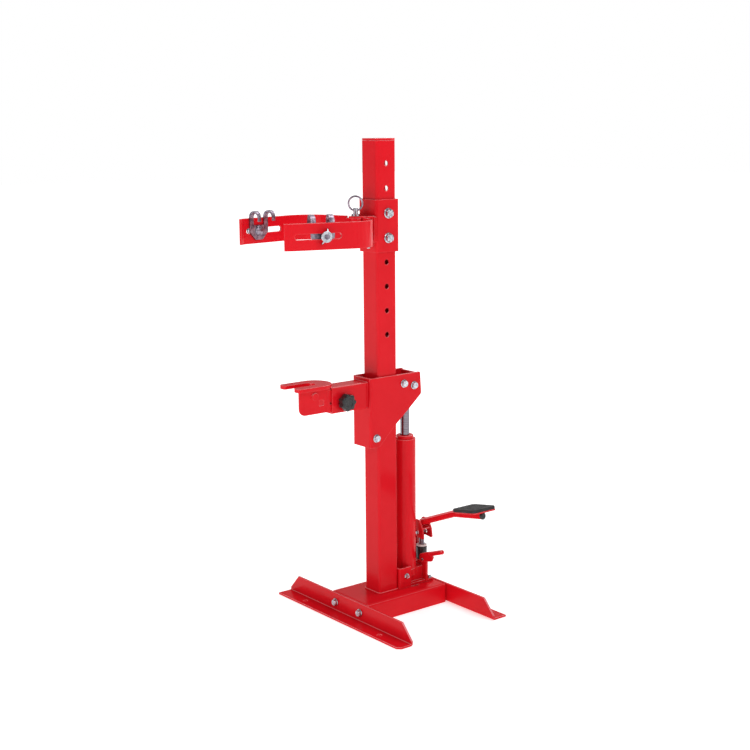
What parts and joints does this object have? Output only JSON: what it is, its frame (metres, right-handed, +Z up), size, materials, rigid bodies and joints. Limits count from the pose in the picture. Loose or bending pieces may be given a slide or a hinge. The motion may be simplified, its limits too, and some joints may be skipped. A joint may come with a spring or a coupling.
{
  "type": "coil spring compressor",
  "caption": "Foot-pumped hydraulic floor stand whose sliding fork pushes a suspension coil spring up against two hinged hook arms.",
  "frame": {"origin": "on the floor, under the middle of the stand's bounding box", "axes": "+Z up the column; -Y is the operator's side, where the spring is held; +X is the pedal side"},
  "size_m": [0.421, 0.4534, 1],
  "materials": {
    "red_paint": "glossy red powder coat",
    "zinc_plate": "bright zinc",
    "hook_zinc": "passivated zinc",
    "polished_steel": "ground and polished steel",
    "black_plastic": "satin black",
    "rubber": "moulded rubber",
    "white_seal": "satin white"
  },
  "bodies": {
    "root": {"base_tray": "red_paint", "front_foot": "red_paint", "rear_foot": "red_paint", "front_right_foot_bolt": "zinc_plate", "front_left_foot_bolt": "zinc_plate", "rear_right_foot_bolt": "zinc_plate", "rear_left_foot_bolt": "zinc_plate", "column": "red_paint", "column_cap": "red_paint", "jack_bracket": "red_paint", "right_bracket_screw": "zinc_plate", "left_bracket_screw": "zinc_plate", "pump_block": "red_paint", "right_block_bolt": "zinc_plate", "left_block_bolt": "zinc_plate", "jack_cylinder": "red_paint", "cylinder_gland": "red_paint", "pump_barrel": "black_plastic", "pump_wiper": "white_seal", "fulcrum_post": "red_paint", "fulcrum_pin": "zinc_plate", "release_pin": "zinc_plate", "upper_sleeve": "red_paint", "lower_sleeve_bolt": "zinc_plate", "upper_sleeve_bolt": "zinc_plate", "hinge_bracket": "red_paint", "right_arm_stop": "zinc_plate", "left_arm_stop": "zinc_plate"},
    "lift": {"carriage": "red_paint", "carriage_tie": "red_paint", "rear_axle": "zinc_plate", "front_axle": "zinc_plate", "ram_bolt": "zinc_plate", "ram_head": "polished_steel", "ram_rod": "polished_steel", "piston": "black_plastic", "fork_carrier": "red_paint"},
    "rear_guide": {"rear_roller": "polished_steel"},
    "front_guide": {"front_roller": "polished_steel"},
    "fork": {"fork_slider": "red_paint", "fork_plate": "red_paint"},
    "knob": {"lock_knob": "black_plastic"},
    "pedal": {"pedal_yoke": "red_paint", "pedal_lever": "red_paint", "lever_plug": "black_plastic", "pedal_plate": "red_paint", "pedal_pad": "rubber"},
    "plunger": {"pump_plunger": "polished_steel", "plunger_pin": "zinc_plate"},
    "release": {"release_lever": "red_paint"},
    "pin": {"pull_pin": "zinc_plate", "pull_ring": "zinc_plate"},
    "right_arm": {"right_arm": "red_paint"},
    "right_hook": {"right_hook": "hook_zinc", "right_hook_bolt": "hook_zinc"},
    "right_nut": {"right_wing_nut": "zinc_plate"},
    "left_arm": {"left_arm": "red_paint"},
    "left_hook": {"left_hook": "hook_zinc", "left_hook_bolt": "hook_zinc"},
    "left_nut": {"left_wing_nut": "zinc_plate"}
  },
  "joints": [
    {"name": "carriage_lift", "type": "slide", "parent": "root", "child": "lift", "axis": [0, 0, 1], "range_m": [-0.085, 0.155]},
    {"name": "rear_roller_spin", "type": "hinge", "parent": "lift", "child": "rear_guide", "pos_m": [0, 0.0977, 0.4928], "axis": [1, 0, 0], "continuous": true},
    {"name": "front_roller_spin", "type": "hinge", "parent": "lift", "child": "front_guide", "pos_m": [0, 0.0231, 0.386], "axis": [1, 0, 0], "continuous": true},
    {"name": "fork_reach", "type": "slide", "parent": "lift", "child": "fork", "axis": [0, -1, 0], "range_m": [0, 0.06]},
    {"name": "knob_turn", "type": "hinge", "parent": "lift", "child": "knob", "pos_m": [0.0215, -0.0536, 0.473], "axis": [1, 0, 0], "range_deg": [0, 360]},
    {"name": "pump_pedal", "type": "hinge", "parent": "root", "child": "pedal", "pos_m": [-0.018, 0.1714, 0.148], "axis": [0, 1, 0], "range_deg": [0, 25], "stiffness_Nm_per_rad": 2, "springref_deg": -34.38},
    {"name": "plunger_stroke", "type": "slide", "parent": "root", "child": "plunger", "axis": [0, 0, 1], "range_m": [-0.0082, 0]},
    {"name": "release_pedal", "type": "hinge", "parent": "root", "child": "release", "pos_m": [0.022, 0.1564, 0.094], "axis": [0, 1, 0], "range_deg": [0, 20], "stiffness_Nm_per_rad": 0.3, "springref_deg": -28.65},
    {"name": "pin_pull", "type": "slide", "parent": "root", "child": "pin", "axis": [0, 0, 1], "range_m": [0, 0.075]},
    {"name": "right_arm_swing", "type": "hinge", "parent": "root", "child": "right_arm", "pos_m": [0, -0.0016, 0.8195], "axis": [0, 0, 1], "range_deg": [-12, 30]},
    {"name": "left_arm_swing", "type": "hinge", "parent": "root", "child": "left_arm", "pos_m": [0, -0.0016, 0.8195], "axis": [0, 0, -1], "range_deg": [-20, 24]},
    {"name": "right_hook_slide", "type": "slide", "parent": "right_arm", "child": "right_hook", "axis": [-0.279, -0.9603, 0], "range_m": [-0.03, 0.03]},
    {"name": "left_hook_slide", "type": "slide", "parent": "left_arm", "child": "left_hook", "axis": [0.1426, -0.9898, 0], "range_m": [-0.055, 0.004]},
    {"name": "right_nut_turn", "type": "hinge", "parent": "right_hook", "child": "right_nut", "pos_m": [0.09669, -0.15276, 0.8195], "axis": [0.9603, -0.279, 0], "continuous": true},
    {"name": "left_nut_turn", "type": "hinge", "parent": "left_hook", "child": "left_nut", "pos_m": [-0.11279, -0.16555, 0.8195], "axis": [-0.9898, -0.1426, 0], "continuous": true}
  ],
  "couplings": [
    {"joint": "rear_roller_spin", "follows": "carriage_lift", "rad_per_m": 72.993},
    {"joint": "front_roller_spin", "follows": "carriage_lift", "rad_per_m": -102.04},
    {"joint": "plunger_stroke", "follows": "pump_pedal", "m_per_rad": -0.0178}
  ]
}
